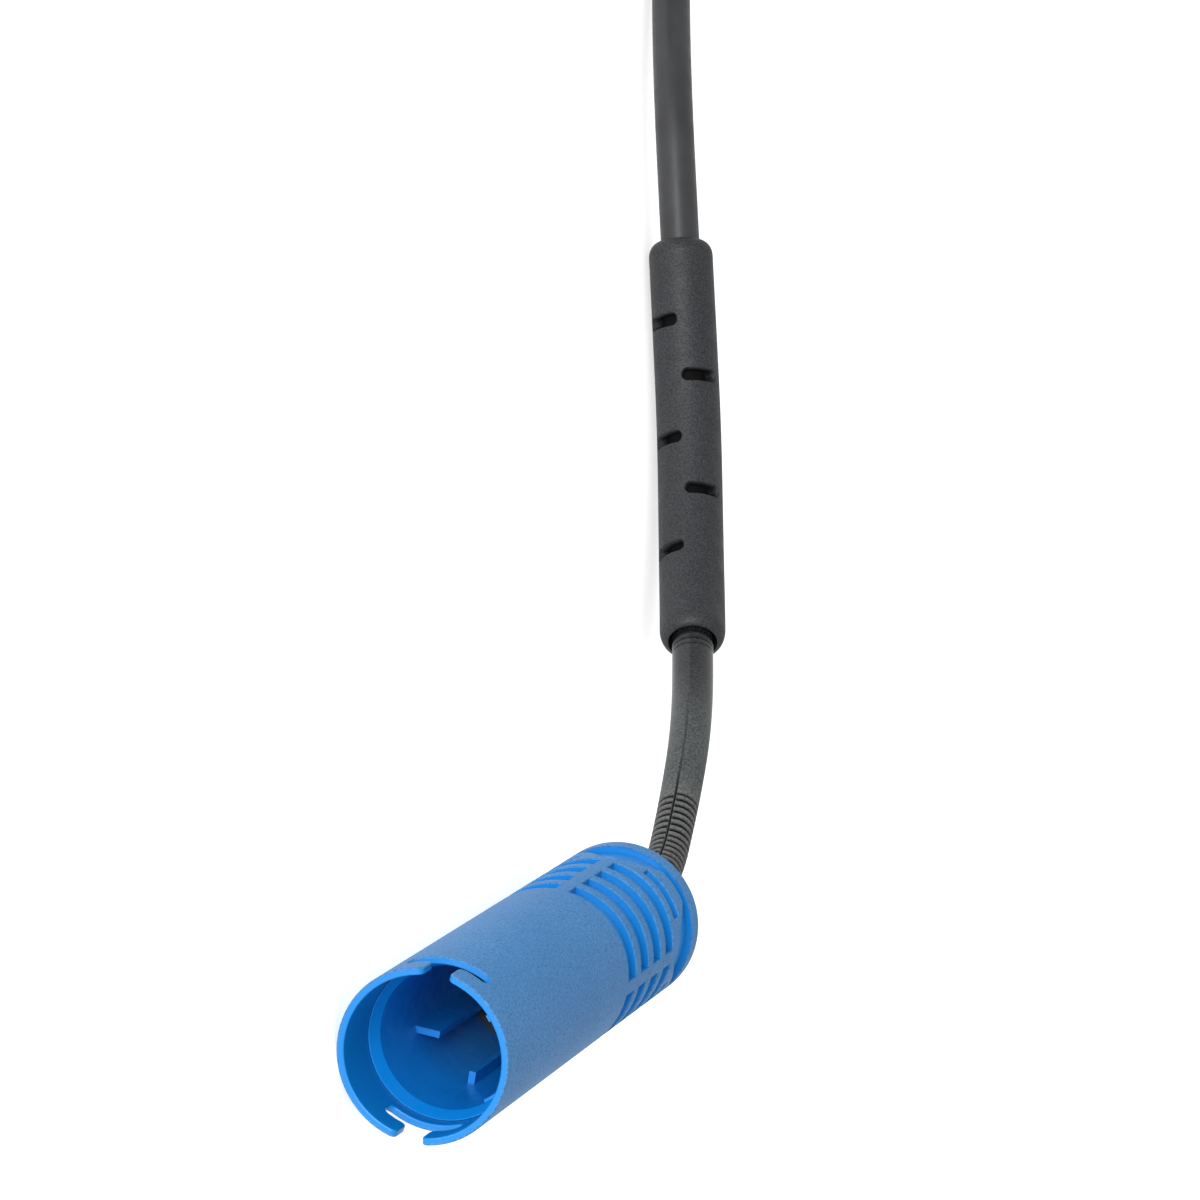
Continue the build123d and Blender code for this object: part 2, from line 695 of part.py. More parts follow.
def make_tail(points):
    """Cable between the coil and the sensor head."""
    with BuildPart() as tail:
        sweep_tube(points, CABLE_RADIUS)
    return tail


def sensor_plane(end, distance):
    """Plane across the sensor head, a distance past the end of the cable, facing -Y."""
    return Plane(origin=(end.X, end.Y - distance, SENSOR_AXIS_HEIGHT), x_dir=(1, 0, 0), z_dir=(0, -1, 0))


def make_sensor_boot(end):
    """Tapered boot where the cable enters the sensor."""
    with BuildPart() as boot:
        with BuildSketch(sensor_plane(end, 0)):
            Circle(CABLE_RADIUS + BOOT_START_WALL)
        with BuildSketch(sensor_plane(end, SENSOR_BOOT_LENGTH)):
            Circle(CABLE_RADIUS + BOOT_END_WALL)
        loft()
        slope = (BOOT_END_WALL - BOOT_START_WALL) / SENSOR_BOOT_LENGTH
        for index in range(BOOT_RIBS):
            station = BOOT_RIB_START + index * BOOT_RIB_PITCH
            with BuildSketch(sensor_plane(end, station)):
                Circle(CABLE_RADIUS + BOOT_END_WALL + 0.5)
                Circle(CABLE_RADIUS + 0.2 + slope * station, mode=Mode.SUBTRACT)
            extrude(amount=BOOT_GROOVE_WIDTH, mode=Mode.SUBTRACT)
    return boot


def make_sensor_body(end):
    """Moulded body with a side ear for the bolt and a hollow round nose."""
    body_start = SENSOR_BOOT_LENGTH
    nose_start = body_start + SENSOR_LENGTH
    with BuildPart() as body:
        with BuildSketch(sensor_plane(end, body_start)):
            RectangleRounded(SENSOR_WIDTH, 2 * SENSOR_AXIS_HEIGHT, 2.5)
        extrude(amount=SENSOR_LENGTH)
        fillet(body.edges().group_by(Axis.Y)[-1], 1.2)
        with BuildSketch(sensor_plane(end, nose_start - EAR_THICKNESS)):
            with Locations((EAR_HOLE_OFFSET / 2, 0)):
                Rectangle(EAR_HOLE_OFFSET, 2 * SENSOR_AXIS_HEIGHT)
            with Locations((EAR_HOLE_OFFSET, 0)):
                Circle(SENSOR_AXIS_HEIGHT)
        extrude(amount=EAR_THICKNESS)
        with BuildSketch(sensor_plane(end, nose_start - EAR_THICKNESS)):
            with Locations((EAR_HOLE_OFFSET, 0)):
                Circle(BUSH_RADIUS)
        extrude(amount=EAR_THICKNESS, mode=Mode.SUBTRACT)
        with BuildSketch(sensor_plane(end, nose_start)):
            Circle(NOSE_RADIUS)
        extrude(amount=SENSOR_NOSE_LENGTH)
        with BuildSketch(sensor_plane(end, nose_start + SEAL_STATION)):
            Circle(NOSE_RADIUS + 1)
            Circle(SEAL_GROOVE_RADIUS, mode=Mode.SUBTRACT)
        extrude(amount=2 * SEAL_CORD_RADIUS, mode=Mode.SUBTRACT)
        with BuildSketch(sensor_plane(end, nose_start + NOSE_HOLLOW_START)):
            Circle(NOSE_RADIUS - NOSE_WALL)
        extrude(amount=SENSOR_NOSE_LENGTH, mode=Mode.SUBTRACT)
    return body


def make_sensor_cap(end):
    """Cap that closes the nose."""
    tip = SENSOR_BOOT_LENGTH + SENSOR_LENGTH + SENSOR_NOSE_LENGTH
    with BuildPart() as cap:
        with BuildSketch(sensor_plane(end, tip)):
            Circle(NOSE_RADIUS - 0.2)
        extrude(amount=NOSE_CAP_LIP)
        fillet(cap.edges().filter_by(GeomType.CIRCLE).sort_by(Axis.Y)[0], 0.6)
        with BuildSketch(sensor_plane(end, tip - NOSE_CAP_PLUG)):
            Circle(NOSE_RADIUS - NOSE_WALL)
        extrude(amount=NOSE_CAP_PLUG)
    return cap


def make_sensor_magnet(end):
    """Small magnet at the bottom of the hollow nose."""
    start = SENSOR_BOOT_LENGTH + SENSOR_LENGTH + NOSE_HOLLOW_START
    with BuildPart() as magnet:
        with BuildSketch(sensor_plane(end, start)):
            Circle(NOSE_RADIUS - NOSE_WALL)
        extrude(amount=MAGNET_LENGTH)
    return magnet


def make_sensor_chip(end):
    """Sensing element between the magnet and the nose cap."""
    start = SENSOR_BOOT_LENGTH + SENSOR_LENGTH + NOSE_HOLLOW_START + MAGNET_LENGTH
    with BuildPart() as chip:
        with BuildSketch(sensor_plane(end, start)):
            Rectangle(CHIP_WIDTH, CHIP_HEIGHT)
        extrude(amount=CHIP_THICKNESS)
    return chip


def make_sensor_seal(end):
    """O-ring at the root of the nose."""
    middle = SENSOR_BOOT_LENGTH + SENSOR_LENGTH + SEAL_STATION + SEAL_CORD_RADIUS
    centre = (end.X, end.Y - middle, SENSOR_AXIS_HEIGHT)
    section = Plane(origin=centre, x_dir=(1, 0, 0), z_dir=(0, 0, 1))
    with BuildPart() as seal:
        with BuildSketch(section):
            with Locations((SEAL_GROOVE_RADIUS + SEAL_CORD_RADIUS, 0)):
                Circle(SEAL_CORD_RADIUS)
        revolve(axis=Axis(centre, (0, 1, 0)))
    return seal


def make_mounting_bush(end):
    """Metal compression bush in the ear."""
    nose_start = SENSOR_BOOT_LENGTH + SENSOR_LENGTH
    with BuildPart() as bush:
        with BuildSketch(sensor_plane(end, nose_start - EAR_THICKNESS)):
            with Locations((EAR_HOLE_OFFSET, 0)):
                Circle(BUSH_RADIUS)
                Circle(BOLT_RADIUS, mode=Mode.SUBTRACT)
        extrude(amount=EAR_THICKNESS)
    return bush


def main():
    """Build every piece and write it."""
    os.makedirs("parts", exist_ok=True)
    rear_cutters = [roof_cutter(GRIP_SECTOR_CENTRE + 90 * sector) for sector in range(4)]
    save(make_coupling_sleeve(rear_cutters), "coupling_sleeve")
    save(make_plug_body(tongue_ramp()), "plug_body")
    save(make_rear_cap(), "rear_cap")
    save(make_retaining_ring(), "retaining_ring")
    save(make_interface_seal(), "interface_seal")
    save(make_contact_carrier(), "contact_carrier")
    save(make_contact_pin(-1), "contact_pin_1")
    save(make_contact_pin(1), "contact_pin_2")
    save(make_secondary_lock(), "secondary_lock")
    save(make_wire_seal(), "wire_seal")
    save(make_core(-1), "core_1")
    save(make_core(1), "core_2")
    save(make_crimp_ferrule(), "crimp_ferrule")
    save(make_strain_relief(ROUTE), "strain_relief")
    save(make_inner_cable(ROUTE), "inner_cable")
    save(make_cable_sleeve(ROUTE, sleeve_slots(ROUTE)), "cable_sleeve")
    cable = make_cable(ROUTE)
    save(cable, "lead_cable")
    centre = coil_centre()
    save(make_coil(centre), "cable_coil")
    tail_points = tail_route(centre)
    tail = make_tail(tail_points)
    save(tail, "cable_tail")
    report_tube("tail", tail.part, tail_points, CABLE_RADIUS)
    print("lead radii", [round(r, 1) for r in route_radii(ROUTE)])
    print("coil centre", centre, "tail", tail_points)
    end = Vector(*tail_points[-1])
    save(make_sensor_boot(end), "sensor_boot")
    save(make_sensor_body(end), "sensor_body")
    save(make_sensor_cap(end), "sensor_cap")
    save(make_sensor_magnet(end), "sensor_magnet")
    save(make_sensor_chip(end), "sensor_chip")
    save(make_sensor_seal(end), "sensor_seal")
    save(make_mounting_bush(end), "mounting_bush")


main()
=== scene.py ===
"""Looks of a sensor lead with a round blue plug: cable, strain relief, slotted sleeve, materials and light.

Lengths are in metres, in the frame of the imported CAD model.  The plug lies along Y with its mouth
towards -Y, and the cable leaves its rear, bends towards -X and ends in a coil and a sensor head.
"""
import json
from math import cos, degrees, pi, radians, sin

import bpy
import numpy as np
from mathutils import Matrix, Vector

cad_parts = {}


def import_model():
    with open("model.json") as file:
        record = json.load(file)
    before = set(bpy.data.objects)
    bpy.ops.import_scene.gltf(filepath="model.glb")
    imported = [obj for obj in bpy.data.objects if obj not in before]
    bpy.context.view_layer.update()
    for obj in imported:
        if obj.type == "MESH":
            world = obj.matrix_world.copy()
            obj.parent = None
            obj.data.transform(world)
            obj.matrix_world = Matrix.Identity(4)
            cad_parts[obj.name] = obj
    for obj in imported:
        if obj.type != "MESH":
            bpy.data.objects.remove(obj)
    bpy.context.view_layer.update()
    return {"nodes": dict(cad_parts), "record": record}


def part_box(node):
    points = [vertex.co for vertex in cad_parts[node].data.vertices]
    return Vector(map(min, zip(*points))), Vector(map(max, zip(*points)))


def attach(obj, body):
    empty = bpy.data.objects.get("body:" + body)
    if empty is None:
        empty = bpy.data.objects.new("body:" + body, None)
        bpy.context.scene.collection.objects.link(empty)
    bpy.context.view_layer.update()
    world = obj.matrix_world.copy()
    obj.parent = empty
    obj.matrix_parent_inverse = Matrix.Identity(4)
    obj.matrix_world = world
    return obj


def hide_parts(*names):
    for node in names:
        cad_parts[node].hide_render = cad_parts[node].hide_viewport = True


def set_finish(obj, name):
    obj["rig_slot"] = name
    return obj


MM = 0.001

# Control points of the cable's route, from the rear of the plug to the coil, and of its tail to the sensor
ROUTE = [
    (0.0, 0.03825, 0.0100),
    (0.0, 0.0545, 0.0100),
    (-0.0100, 0.0690, 0.0102),
    (-0.0180, 0.0830, 0.0090),
    (-0.0280, 0.0960, 0.0068),
    (-0.0395, 0.1062, 0.0053),
    (-0.0541, 0.1147, 0.00475),
    (-0.0696, 0.1204, 0.00458),
    (-0.0845, 0.1253, 0.00455),
    (-0.0995, 0.1307, 0.0044),
    (-0.1135, 0.1399, 0.0034),
    (-0.1300, 0.1515, 0.0027),
    (-0.1470, 0.1610, 0.0027),
]
BOOT_RUN = 4
TAIL_DROP = [
    (0.0, -0.0090, 0.0),
    (0.0, -0.0250, -0.0014),
    (-0.0015, -0.0390, -0.0044),
    (0.0005, -0.0520, -0.0021),
    (0.0005, -0.0630, -0.0021),
]

# Camera: where it stands, and its sideways and upward directions
LENS = 149.37
CLIP_RANGE = (0.01, 20)
CAMERA_PLACE = (-0.09951, -0.54311, 0.20079)
CAMERA_RIGHT = (0.14137, 0.29100, 0.94622)
CAMERA_UP = (-0.98521, 0.13487, 0.10572)
CAMERA_BACK = (-0.09685, -0.94717, 0.30576)

CABLE_RADIUS = 2.7 * MM


def mid_point(first, second):
    """Point half way between two."""
    return tuple((a + b) / 2 for a, b in zip(first, second))


# ---------------------------------------------------------------- curves and paths

CURVE_STEPS = 12
LINE_STEPS = 48
HALF_ROUND_STEPS = 8


def nurbs_curve(name, points, radius=0.0):
    """Open quadratic NURBS curve through its end points, with a round section if a radius is given."""
    curve = bpy.data.curves.new(name, "CURVE")
    curve.dimensions = "3D"
    spline = curve.splines.new("NURBS")
    spline.points.add(len(points) - 1)
    for control, place in zip(spline.points, points):
        control.co = (*place, 1.0)
        control.radius = radius
    spline.order_u = 3
    spline.use_endpoint_u = True
    spline.resolution_u = CURVE_STEPS
    curve.resolution_u = CURVE_STEPS
    curve.bevel_depth = 1.0 if radius else 0.0
    curve.bevel_resolution = HALF_ROUND_STEPS
    curve.use_fill_caps = True
    piece = bpy.data.objects.new(name, curve)
    bpy.context.scene.collection.objects.link(piece)
    return piece


def curve_line(points):
    """Places along the bare NURBS line of these control points."""
    helper = nurbs_curve("helper_line", points)
    helper.data.splines[0].resolution_u = LINE_STEPS
    helper.data.resolution_u = LINE_STEPS
    bpy.context.view_layer.update()
    line = bpy.data.meshes.new_from_object(helper)
    places = np.array([v.co for v in line.vertices])
    bpy.data.objects.remove(helper)
    bpy.data.meshes.remove(line)
    return places


NUDGE = 0.4 * MM


class Path:
    """A line with its length: places and frames at a distance along it."""

    def __init__(self, places):
        self.places = places
        steps = np.linalg.norm(np.diff(places, axis=0), axis=1)
        self.reach = np.concatenate([[0.0], np.cumsum(steps)])
        self.length = self.reach[-1]

    def place(self, distance):
        """Point at a distance; before the start it goes straight back."""
        inside = np.clip(distance, 0, self.length)
        point = np.array([np.interp(inside, self.reach, self.places[:, axis]) for axis in range(3)])
        return point + (distance - inside) * self.end_heading(distance)

    def end_heading(self, distance):
        """Heading of the line's first or last step."""
        last = 1 if distance < self.length / 2 else len(self.places) - 1
        step = self.places[last] - self.places[last - 1]
        return step / np.linalg.norm(step)

    def frame(self, distance):
        """Place, left side and upward direction at a distance."""
        step = self.place(distance + NUDGE) - self.place(distance - NUDGE)
        heading = step / np.linalg.norm(step)
        left = np.cross((0, 0, 1), heading)
        left /= np.linalg.norm(left)
        return self.place(distance), left, np.cross(heading, left)

    def distance_of(self, point):
        """Distance along the line of its nearest place to a point."""
        return float(self.reach[np.argmin(np.linalg.norm(self.places - np.array(point), axis=1))])


def skin(name, path, rows, columns, reach):
    """Closed tube along a path. reach(distance, angles) gives its radii and painted-shade weights.

    Angles run from the top to the left.  The point attributes give a painted-shade weight for grooves,
    slots and mouths, and how far along a point is.  Rows with a factor under 1 lie in a mouth, deep, fully
    shaded."""
    angles = np.arange(columns) * 2 * pi / columns
    verts, recess_shades, stations = [], [], []
    for distance, factor in rows:
        place, left, up = path.frame(distance)
        radii, recess_shade = reach(distance, angles)
        radii = radii * factor
        # Painted shade: rows in a mouth get a full weight, which the materials paint dark.
        recess_shades.extend(recess_shade if factor == 1.0 else np.ones(columns))
        stations.extend([distance] * columns)
        ring = place + np.outer(radii * np.cos(angles), up) + np.outer(radii * np.sin(angles), left)
        verts.extend(ring)
    faces = []
    for row in range(len(rows) - 1):
        for column in range(columns):
            after = (column + 1) % columns
            low, high = row * columns, (row + 1) * columns
            faces.append((low + column, high + column, high + after, low + after))
    faces.append(tuple(range(columns)))
    last = (len(rows) - 1) * columns
    faces.append(tuple(last + column for column in reversed(range(columns))))
    mesh = bpy.data.meshes.new(name)
    mesh.from_pydata([tuple(v) for v in verts], [], faces)
    mesh.polygons.foreach_set("use_smooth", [True] * (len(faces) - 2) + [False, False])
    # Painted shade: this weight darkens the colour and takes away the specular in the materials.
    mesh.attributes.new("recess_shade", "FLOAT", "POINT").data.foreach_set("value", recess_shades)
    mesh.attributes.new("station", "FLOAT", "POINT").data.foreach_set("value", stations)
    mesh.update()
    piece = bpy.data.objects.new(name, mesh)
    bpy.context.scene.collection.objects.link(piece)
    return piece


def smooth(low, high, value):
    """Smooth step from 0 at low to 1 at high."""
    share = np.clip((value - low) / (high - low), 0, 1)
    return share * share * (3 - 2 * share)


# ---------------------------------------------------------------- cable with its coil

COIL_MEAN_RADIUS = 29.5 * MM
COIL_POINTS_PER_TURN = 16
STEP_IN = (300, 360)
STEP_UP = (600, 660)
STEP_OUT = (900, 960)


def coil_points(centre, start_angle, turn_angle):
    """Control points of the coil, two turns wide and two high, starting and ending in an outer turn."""
    half = pi / COIL_POINTS_PER_TURN
    inner, outer = COIL_MEAN_RADIUS - CABLE_RADIUS, COIL_MEAN_RADIUS + CABLE_RADIUS
    low, high = CABLE_RADIUS, 3 * CABLE_RADIUS
    points = []
    count = round(turn_angle / (2 * half))
    for index in range(count):
        turned = (index + 0.5) * turn_angle / count
        share_in = smooth(*STEP_IN, degrees(turned)) - smooth(*STEP_OUT, degrees(turned))
        radius = outer + (inner - outer) * share_in
        height = low + (high - low) * smooth(*STEP_UP, degrees(turned))
        reach = radius / cos(half)
        angle = start_angle + turned
        points.append((centre.x + reach * cos(angle), centre.y + reach * sin(angle), height))
    return points


def cable_points():
    """Control points of the whole free cable, from inside the sleeve to the sensor's boot."""
    low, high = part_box("cable_coil")
    centre = (low + high) / 2
    heading = Vector(ROUTE[-1]) - Vector(ROUTE[-2])
    start_angle = float(np.arctan2(-heading.x, heading.y))
    turn_angle = 6 * pi + pi - start_angle
    points = [mid_point(ROUTE[BOOT_RUN], ROUTE[BOOT_RUN + 1])] + ROUTE[BOOT_RUN + 1:]
    points += coil_points(centre, start_angle, turn_angle)
    side = Vector((centre.x - COIL_MEAN_RADIUS - CABLE_RADIUS, centre.y, 3 * CABLE_RADIUS))
    points += [tuple(side + Vector(step)) for step in TAIL_DROP]
    return points


def make_cable():
    """The outer jacket: one NURBS tube for the visible cable, the coil and the tail."""
    points = cable_points()
    cable = nurbs_curve("cable", points, CABLE_RADIUS)
    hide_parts("lead_cable", "cable_coil", "cable_tail")
    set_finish(cable, "jacket")
    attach(cable, "lead")
    line = Path(curve_line(points))
    return cable, points[0], line.length


# ---------------------------------------------------------------- strain relief

BOOT_START = -6.0 * MM
BOOT_COLUMNS = 160
RIB_ROWS = 13
PLAIN_ROW_STEP = 0.8 * MM
RING_ROW_STEP = 0.1 * MM
RIBS_START = -2.0 * MM
RIB_PITCH = 1.11 * MM
RIBS_END = 31.8 * MM
RIB_DEPTH = 0.32 * MM
GROOVE_HALF_WIDTH = 0.25 * MM
BOOT_RIB_RADIUS = 2.58 * MM
BOOT_TUBE_RADIUS = 2.78 * MM
SWELL_START = 26 * MM
SWELL_END = 58 * MM
SEAM_ANGLE = radians(81)
SEAM_HALF_WIDTH = 0.21 * MM
SEAM_DEPTH = 0.22 * MM
SEAM_CLEAR = (0.10 * MM, 0.30 * MM)
SEAM_ENDS = (52 * MM, 45 * MM)
SEAM_THINS = (38 * MM, 31 * MM)
SEAM_THIN_SHARE = 0.45
END_RINGS_START = 61.6 * MM
END_RINGS_PITCH = 1.25 * MM
END_RINGS_DEPTH = 0.08 * MM
# Share of painted shade in the end rings' grooves.
END_RINGS_SHADE_SHARE = 0.4
SEAM_FLOOR_SHARE = 0.3
GROOVE_FLANK = (0.6 * GROOVE_HALF_WIDTH, 1.5 * GROOVE_HALF_WIDTH)
END_RING_FLANK = (0.12, 0.30)


def boot_reach(distance, angles):
    """Radius and painted-shade weight of the strain relief: ribs near the plug, a moulding seam and small
    end rings, whose grooves get painted shade.
    """
    away = np.abs((angles - SEAM_ANGLE + pi) % (2 * pi) - pi) * BOOT_RIB_RADIUS
    seam = 1 - smooth(SEAM_FLOOR_SHARE * SEAM_HALF_WIDTH, SEAM_HALF_WIDTH, away)
    strength = SEAM_THIN_SHARE + (1 - SEAM_THIN_SHARE) * smooth(*SEAM_THINS, distance)
    seam = seam * smooth(*SEAM_ENDS, distance) * strength
    swell = np.clip((distance - SWELL_START) / (SWELL_END - SWELL_START), 0, 1)
    plain = BOOT_RIB_RADIUS + (BOOT_TUBE_RADIUS - BOOT_RIB_RADIUS) * swell
    half_turn = np.where((angles - SEAM_ANGLE) % (2 * pi) < pi, 0.0, 1.0)
    phase = ((distance - 0.5 * RIB_PITCH * half_turn) / RIB_PITCH) % 1.0
    off_groove = np.minimum(phase, 1 - phase) * RIB_PITCH
    groove = 1 - smooth(*GROOVE_FLANK, off_groove)
    groove = groove * smooth(*SEAM_CLEAR, away)
    groove = groove if RIBS_START < distance < RIBS_END else np.zeros_like(angles)
    ring_phase = ((distance - END_RINGS_START) / END_RINGS_PITCH) % 1.0
    ring = 0.0
    if distance > END_RINGS_START:
        ring = 1 - smooth(*END_RING_FLANK, min(ring_phase, 1 - ring_phase))
    # Painted shade in the grooves, the seam and the end rings.
    recess_shade = np.maximum(np.maximum(seam, groove), END_RINGS_SHADE_SHARE * ring)
    cut = SEAM_DEPTH * seam + RIB_DEPTH * groove * (1 - seam) + END_RINGS_DEPTH * ring
    return plain - cut, recess_shade


def make_strain_relief(path, end):
    """Ribbed boot from inside the plug's rear cap into the sleeve."""
    fine = np.arange(BOOT_START, RIBS_END, RIB_PITCH / RIB_ROWS)
    coarse = np.arange(RIBS_END, END_RINGS_START, PLAIN_ROW_STEP)
    rings = np.arange(END_RINGS_START, end, RING_ROW_STEP)
    rows = [(distance, 1.0) for distance in (*fine, *coarse, *rings, end)]
    boot = skin("strain_relief_tube", path, rows, BOOT_COLUMNS, boot_reach)
    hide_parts("strain_relief")
    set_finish(boot, "boot_rubber")
    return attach(boot, "lead")


# ---------------------------------------------------------------- black sleeve

SLEEVE_RADIUS = 4.45 * MM
SLEEVE_START = 64.2 * MM
SLEEVE_END = 125.2 * MM
SHOULDER = 1.1 * MM
SHOULDER_RUN = 2.2 * MM
FAR_SHOULDER = 1.5 * MM
FAR_SHOULDER_RUN = 2.0 * MM
MOUTH_RADIUS = 3.15 * MM
FAR_MOUTH_RADIUS = 2.85 * MM
MOUTH_RECESS = 2.6 * MM
SLOT_PITCH = 17.5 * MM
FIRST_SLOT = 78.2 * MM
SLOT_ROW_ANGLES = (radians(-59), radians(47), radians(121), radians(227))
SLOT_STAGGER = 9.3 * MM
SLOT_HALF_LENGTH = 2.75 * MM
SLOT_HALF_WIDTH = 1.0 * MM
SLOT_DEPTH = 1.5 * MM
SLOT_EDGE = 0.14 * MM
SLEEVE_ROW_STEP = 0.1 * MM
SLEEVE_COLUMNS = 256
SHOULDER_STEPS = 8
SLOTS_PER_ROW = 3
FACE_STEP = 0.02 * MM
GRIP = 0.97


def slot_places():
    """Distance and angle of every slot in the four staggered rows."""
    places = []
    for row, angle in enumerate(SLOT_ROW_ANGLES):
        first = FIRST_SLOT + SLOT_STAGGER * (row % 2)
        for index in range(SLOTS_PER_ROW):
            distance = first + index * SLOT_PITCH
            if distance < SLEEVE_END - SLOT_PITCH / 2:
                places.append((distance, angle))
    return places


def sleeve_reach(distance, angles):
    """Radius and painted-shade weight of the sleeve at a distance: round shoulders at both ends and blind
    slots with round ends, whose floors get painted shade.
    """
    rounding = np.clip(1 - (distance - SLEEVE_START) / SHOULDER_RUN, 0, 1)
    far_rounding = np.clip(1 - (SLEEVE_END - distance) / FAR_SHOULDER_RUN, 0, 1)
    radius = SLEEVE_RADIUS - SHOULDER * (1 - np.sqrt(1 - rounding**2))
    radius -= FAR_SHOULDER * (1 - np.sqrt(1 - far_rounding**2))
    radii = np.full_like(angles, radius)
    recess_shade = np.zeros_like(angles)
    for slot_distance, slot_angle in slot_places():
        along = abs(distance - slot_distance)
        if along > SLOT_HALF_WIDTH + SLOT_EDGE:
            continue
        round_off = np.abs((angles - slot_angle + pi) % (2 * pi) - pi) * SLEEVE_RADIUS
        beyond = np.maximum(round_off - (SLOT_HALF_LENGTH - SLOT_HALF_WIDTH), 0)
        inside = SLOT_HALF_WIDTH - np.hypot(along, beyond)
        radii -= SLOT_DEPTH * smooth(0, SLOT_EDGE, inside)
        # Painted shade on the slot floors.
        recess_shade = np.maximum(recess_shade, smooth(0, 0.6 * SLOT_EDGE, inside))
    return radii, recess_shade


def make_cable_sleeve(path):
    """Slotted sleeve over the joint of strain relief and cable, with a countersunk mouth at each end."""
    steps = np.linspace(0.0, 1.0, SHOULDER_STEPS + 1)
    shoulder = [SLEEVE_START + SHOULDER_RUN * (1 - cos(step * pi / 2)) for step in steps]
    middle = list(np.arange(SLEEVE_START + SHOULDER_RUN, SLEEVE_END - FAR_SHOULDER_RUN, SLEEVE_ROW_STEP))[1:]
    far = [SLEEVE_END - FAR_SHOULDER_RUN * (1 - cos(step * pi / 2)) for step in reversed(steps)]
    deep = CABLE_RADIUS * GRIP / SLEEVE_RADIUS
    wide = MOUTH_RADIUS / (SLEEVE_RADIUS - SHOULDER)
    far_wide = FAR_MOUTH_RADIUS / (SLEEVE_RADIUS - FAR_SHOULDER)
    # Painted shade: the deep mouth rows get a full weight in skin() and are painted black.
    rows = [(SLEEVE_START + MOUTH_RECESS, deep), (SLEEVE_START + FACE_STEP, wide)]
    rows += [(distance, 1.0) for distance in shoulder + middle + far]
    rows += [(SLEEVE_END - FACE_STEP, far_wide), (SLEEVE_END - MOUTH_RECESS, deep)]
    sleeve = skin("slotted_sleeve", path, rows, SLEEVE_COLUMNS, sleeve_reach)
    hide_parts("cable_sleeve")
    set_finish(sleeve, "sleeve_plastic")
    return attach(sleeve, "lead")


# ---------------------------------------------------------------- materials

STREAKS = (30, 3000, 30)
MIX_COLOUR_INPUTS = (6, 7)
MIX_COLOUR_OUTPUT = 2


class Paint:
    """A material under construction: short calls that add and join nodes."""

    def __init__(self, name, colour, roughness, metallic=0.0, specular=0.5):
        self.material = bpy.data.materials.new(name)
        self.material.use_nodes = True
        self.tree = self.material.node_tree
        self.shader = self.tree.nodes["Principled BSDF"]
        self.colour = (*colour, 1.0)
        self.shader.inputs["Base Color"].default_value = self.colour
        self.shader.inputs["Roughness"].default_value = roughness
        self.shader.inputs["Metallic"].default_value = metallic
        self.shader.inputs["Specular IOR Level"].default_value = specular
        self.coordinates = self.add("ShaderNodeTexCoord")

    def add(self, kind, **values):
        """New node with its properties."""
        node = self.tree.nodes.new(kind)
        for key, value in values.items():
            setattr(node, key, value)
        return node

    def join(self, source, target):
        """Link an output to an input."""
        self.tree.links.new(source, target)

    def noise(self, scale, detail=2.0, roughness=0.5):
        """Noise on object coordinates, scale in cycles per metre."""
        node = self.add("ShaderNodeTexNoise")
        node.inputs["Scale"].default_value = scale
        node.inputs["Detail"].default_value = detail
        node.inputs["Roughness"].default_value = roughness
        self.join(self.coordinates.outputs["Object"], node.inputs["Vector"])
        return node.outputs["Fac"]

    def math(self, operation, first, second=None):
        """Math node on sockets or numbers."""
        node = self.add("ShaderNodeMath", operation=operation)
        for socket, value in zip(node.inputs, (first, second)):
            if value is None:
                continue
            if isinstance(value, (int, float)):
                socket.default_value = value
            else:
                self.join(value, socket)
        return node.outputs[0]

    def spread(self, value, low, high, to_low=0.0, to_high=1.0):
        """Map a value's range to another range, smoothly, and clamp it."""
        node = self.add("ShaderNodeMapRange", interpolation_type="SMOOTHSTEP")
        self.join(value, node.inputs["Value"])
        for key, number in (("From Min", low), ("From Max", high), ("To Min", to_low), ("To Max", to_high)):
            node.inputs[key].default_value = number
        return node.outputs["Result"]

    def blend(self, share, first, second):
        """Mix two colours; each is a socket or three numbers."""
        node = self.add("ShaderNodeMix", data_type="RGBA")
        self.join(share, node.inputs["Factor"])
        for key, colour in zip(MIX_COLOUR_INPUTS, (first, second)):
            if isinstance(colour, tuple):
                node.inputs[key].default_value = (*colour, 1.0)
            else:
                self.join(colour, node.inputs[key])
        return node.outputs[MIX_COLOUR_OUTPUT]

    def bump(self, height, distance, strength=1.0, normal=None):
        """Bump node; returns its normal."""
        node = self.add("ShaderNodeBump")
        node.inputs["Distance"].default_value = distance
        node.inputs["Strength"].default_value = strength
        self.join(height, node.inputs["Height"])
        if normal is not None:
            self.join(normal, node.inputs["Normal"])
        return node.outputs["Normal"]

    def set(self, key, source):
        """Join a socket to the shader's input."""
        self.join(source, self.shader.inputs[key])


def axis_radius(paint, axis_height):
    """Distance of a surface point from the plug's axis."""
    parts = paint.add("ShaderNodeSeparateXYZ")
    paint.join(paint.coordinates.outputs["Object"], parts.inputs[0])
    height = paint.math("SUBTRACT", parts.outputs["Z"], axis_height)
    sideways = paint.math("MULTIPLY", parts.outputs["X"], parts.outputs["X"])
    square = paint.math("ADD", sideways, paint.math("MULTIPLY", height, height))
    return paint.math("SQRT", square)


